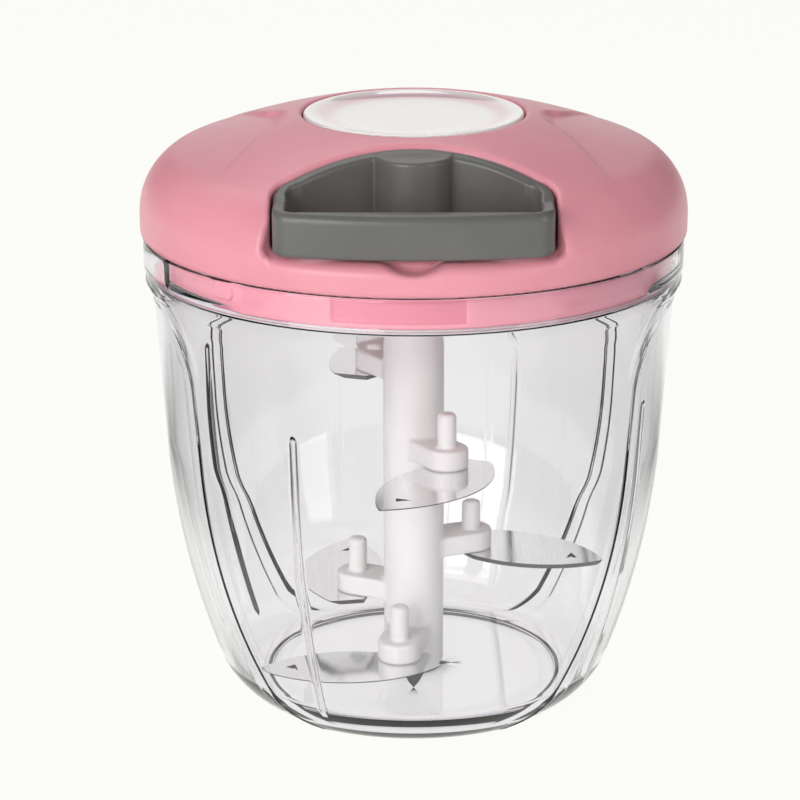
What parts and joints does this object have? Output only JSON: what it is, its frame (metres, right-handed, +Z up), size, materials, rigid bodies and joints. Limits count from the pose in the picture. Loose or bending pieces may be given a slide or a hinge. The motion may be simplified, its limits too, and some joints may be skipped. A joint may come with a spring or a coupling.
{
  "type": "pull-string food chopper",
  "caption": "Hand food chopper with a clear bowl, stacked curved blades on a shaft and a domed lid whose pull handle spins the blades by a cord.",
  "frame": {"origin": "centre of the foot, on the surface that the bowl stands on", "axes": "+Z up along the bowl's axis; -Y towards the pull handle; +X to the right seen from the handle"},
  "size_m": [0.126, 0.126, 0.1382],
  "materials": {
    "clear_plastic": "clear polished",
    "pink_plastic": "satin gloss",
    "grey_plastic": "satin gloss",
    "white_gloss": "gloss",
    "white_plastic": "satin",
    "blade_steel": "polished and ground",
    "steel": "turned",
    "spring_steel": "cold rolled",
    "silicone": "translucent matte",
    "cord": "braided"
  },
  "bodies": {
    "bowl": {"bowl": "clear_plastic", "bowl_pin": "steel"},
    "blades": {"blade_shaft": "white_plastic", "blade_1": "blade_steel", "blade_2": "blade_steel", "blade_3": "blade_steel", "blade_4": "blade_steel", "blade_5": "blade_steel"},
    "seal": {"seal_ring": "silicone"},
    "lid": {"top_cover": "pink_plastic", "centre_cap": "white_gloss", "lid_base": "pink_plastic", "axle": "steel", "axle_washer": "steel", "axle_screw": "steel", "lid_screws": "steel"},
    "pull_handle": {"handle": "grey_plastic", "cord_lead": "cord", "cord_knot": "cord"},
    "drum": {"spool": "white_plastic", "cord_winding": "cord", "recoil_spring": "spring_steel", "spring_cover": "white_plastic"},
    "hub": {"drive_hub": "white_plastic"},
    "first_pawl": {"pawl_1": "white_plastic"},
    "second_pawl": {"pawl_2": "white_plastic"}
  },
  "joints": [
    {"name": "blade_spin", "type": "hinge", "parent": "bowl", "child": "blades", "pos_m": [0, 0, 0.06], "axis": [0, 0, 1], "continuous": true},
    {"name": "lid_lift", "type": "slide", "parent": "bowl", "child": "seal", "axis": [0, 0, 1], "range_m": [0, 0.12]},
    {"name": "lid_twist", "type": "hinge", "parent": "seal", "child": "lid", "pos_m": [0, 0, 0.105], "axis": [0, 0, 1], "range_deg": [-16, 0]},
    {"name": "handle_pull", "type": "slide", "parent": "lid", "child": "pull_handle", "axis": [0, -1, 0], "range_m": [0, 0.3], "stiffness_N_per_m": 12, "springref_m": -0.15, "deforming": ["cord_lead"]},
    {"name": "drum_spin", "type": "hinge", "parent": "lid", "child": "drum", "pos_m": [0, 0, 0.06], "axis": [0, 0, 1], "continuous": true},
    {"name": "hub_spin", "type": "hinge", "parent": "lid", "child": "hub", "pos_m": [0, 0, 0.06], "axis": [0, 0, 1], "continuous": true},
    {"name": "pawl_1_swing", "type": "hinge", "parent": "drum", "child": "first_pawl", "pos_m": [0.011, 0, 0.1102], "axis": [0, 0, 1], "range_deg": [0, 15], "stiffness_Nm_per_rad": 0.0002, "springref_deg": -11.46},
    {"name": "pawl_2_swing", "type": "hinge", "parent": "drum", "child": "second_pawl", "pos_m": [-0.011, 0, 0.1102], "axis": [0, 0, 1], "range_deg": [0, 15], "stiffness_Nm_per_rad": 0.0002, "springref_deg": -11.46}
  ],
  "couplings": [
    {"joint": "drum_spin", "follows": "handle_pull", "rad_per_m": 59.524},
    {"joint": "hub_spin", "follows": "handle_pull", "rad_per_m": 59.524},
    {"joint": "blade_spin", "follows": "handle_pull", "rad_per_m": 59.524}
  ]
}
